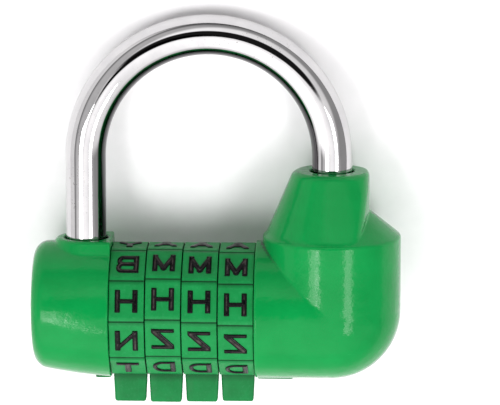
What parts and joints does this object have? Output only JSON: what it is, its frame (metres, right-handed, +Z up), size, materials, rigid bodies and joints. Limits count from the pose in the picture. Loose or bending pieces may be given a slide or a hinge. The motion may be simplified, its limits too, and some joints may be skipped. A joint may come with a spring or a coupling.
{
  "type": "combination padlock",
  "caption": "Small green luggage padlock: chromed round shackle over a horizontal barrel of letter dials with thumb tabs, a tall bevelled housing and a rounded end cap.",
  "frame": {"origin": "inside top of the shackle's arch, in the middle of its width, where the padlock hangs", "axes": "+Z up along the shackle's legs, +X from the toe leg to the heel leg along the dial axis, -Y the front, where the letters are read"},
  "size_m": [0.0642, 0.024, 0.0685],
  "materials": {
    "green_casting": "gloss",
    "green_dial": "satin",
    "black_letters": "gloss",
    "chromed_rod": "polished",
    "steel": "satin",
    "spring_steel": "satin",
    "brass": "satin"
  },
  "bodies": {
    "housing": {"housing": "green_casting", "end_cap": "green_casting", "core_tube": "steel", "heel_pin": "steel", "tube_pin": "steel", "cap_pin": "steel", "thrust_washer_left": "steel", "thrust_washer_right": "steel", "spindle_spring": "spring_steel", "click_spring_1": "spring_steel", "click_spring_2": "spring_steel", "click_spring_3": "spring_steel", "click_spring_4": "spring_steel"},
    "shackle": {"shackle": "chromed_rod"},
    "spindle": {"spindle": "steel"},
    "dial_1": {"dial_1": "green_dial", "dial_1_letters": "black_letters", "gate_ring_1": "brass"},
    "dial_2": {"dial_2": "green_dial", "dial_2_letters": "black_letters", "gate_ring_2": "brass"},
    "dial_3": {"dial_3": "green_dial", "dial_3_letters": "black_letters", "gate_ring_3": "brass"},
    "dial_4": {"dial_4": "green_dial", "dial_4_letters": "black_letters", "gate_ring_4": "brass"}
  },
  "joints": [
    {"name": "shackle_lift", "type": "slide", "parent": "housing", "child": "shackle", "axis": [0, 0, 1], "range_m": [0, 0.0172]},
    {"name": "spindle_slide", "type": "slide", "parent": "housing", "child": "spindle", "axis": [1, 0, 0], "range_m": [-0.0024, 0], "deforming": ["spindle_spring"]},
    {"name": "dial_1_turn", "type": "hinge", "parent": "housing", "child": "dial_1", "pos_m": [0, 0, -0.0449], "axis": [1, 0, 0], "continuous": true, "deforming": ["click_spring_1"]},
    {"name": "dial_2_turn", "type": "hinge", "parent": "housing", "child": "dial_2", "pos_m": [0, 0, -0.0449], "axis": [1, 0, 0], "continuous": true, "deforming": ["click_spring_2"]},
    {"name": "dial_3_turn", "type": "hinge", "parent": "housing", "child": "dial_3", "pos_m": [0, 0, -0.0449], "axis": [1, 0, 0], "continuous": true, "deforming": ["click_spring_3"]},
    {"name": "dial_4_turn", "type": "hinge", "parent": "housing", "child": "dial_4", "pos_m": [0, 0, -0.0449], "axis": [1, 0, 0], "continuous": true, "deforming": ["click_spring_4"]}
  ]
}
